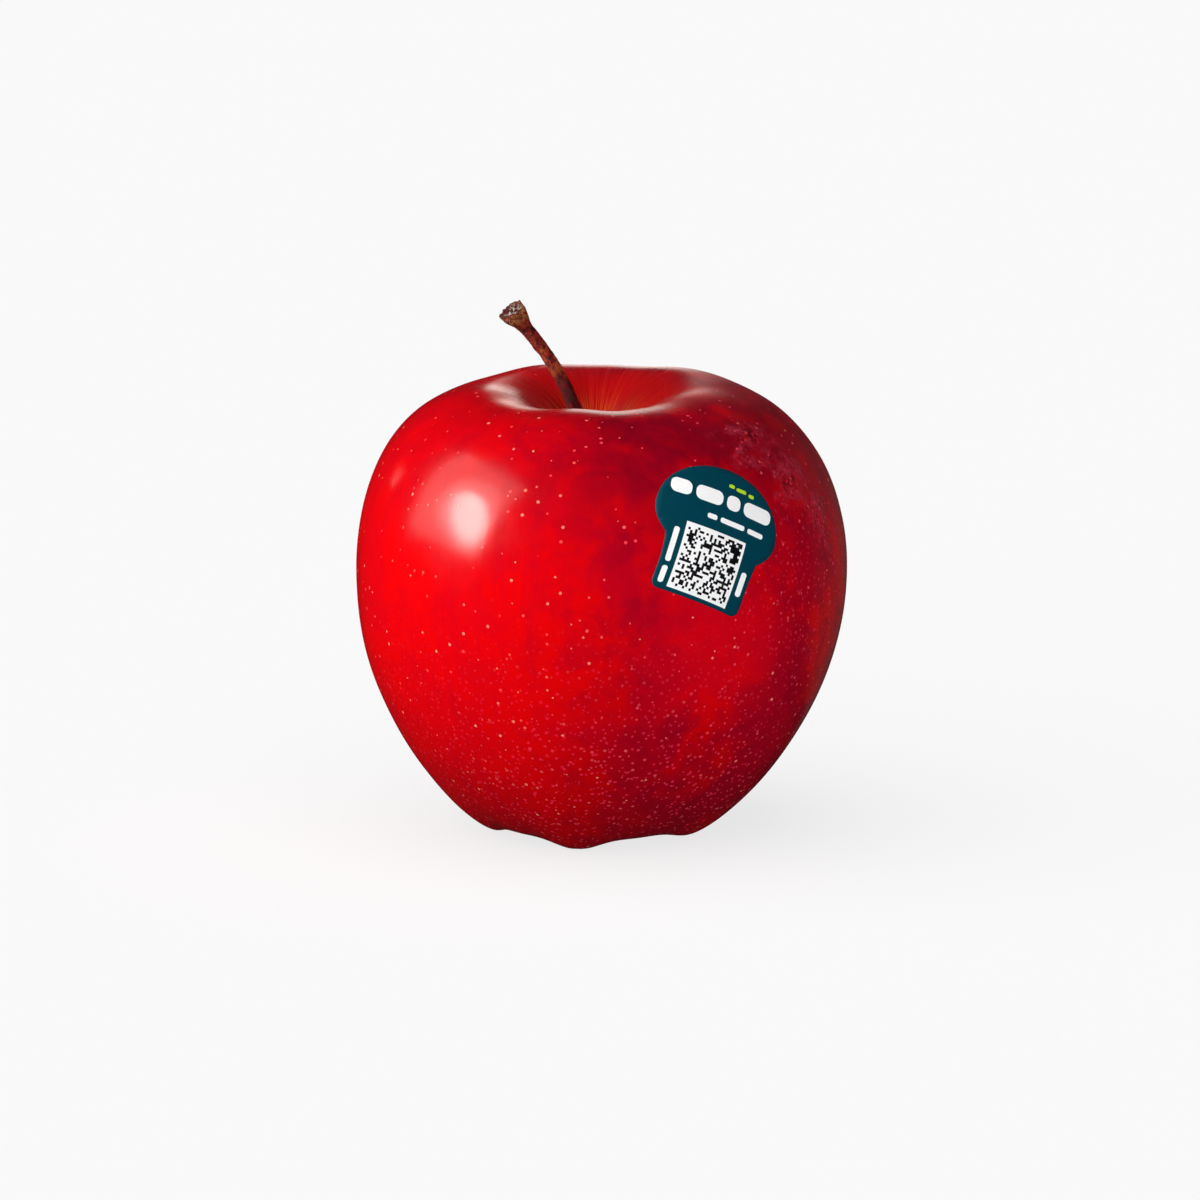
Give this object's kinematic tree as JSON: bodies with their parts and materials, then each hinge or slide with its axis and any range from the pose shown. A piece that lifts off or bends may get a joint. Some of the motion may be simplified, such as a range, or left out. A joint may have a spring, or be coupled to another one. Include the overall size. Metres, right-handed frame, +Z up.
{
  "type": "apple",
  "caption": "Ripe red apple standing on its calyx end, with a leaning stalk, dried sepals and a plain printed sticker on its cheek.",
  "frame": {"origin": "on the surface that the fruit rests on, under the middle of its bounding box", "axes": "+Z up from the calyx end to the stalk, -Y towards the side that shows the sticker at its right, +X to that side's right"},
  "size_m": [0.08, 0.08, 0.0868],
  "materials": {
    "skin": "smooth waxy red skin with pale dots",
    "bark": "dry rough reddish brown",
    "dried_leaf": "dry, matt, brown",
    "label": "satin printed film, dark teal with white"
  },
  "bodies": {
    "root": {"fruit": "skin", "stalk": "bark", "sepal_1": "dried_leaf", "sepal_2": "dried_leaf", "sepal_3": "dried_leaf", "sepal_4": "dried_leaf", "sepal_5": "dried_leaf", "stamen_tuft": "dried_leaf", "sticker": "label"}
  },
  "joints": []
}
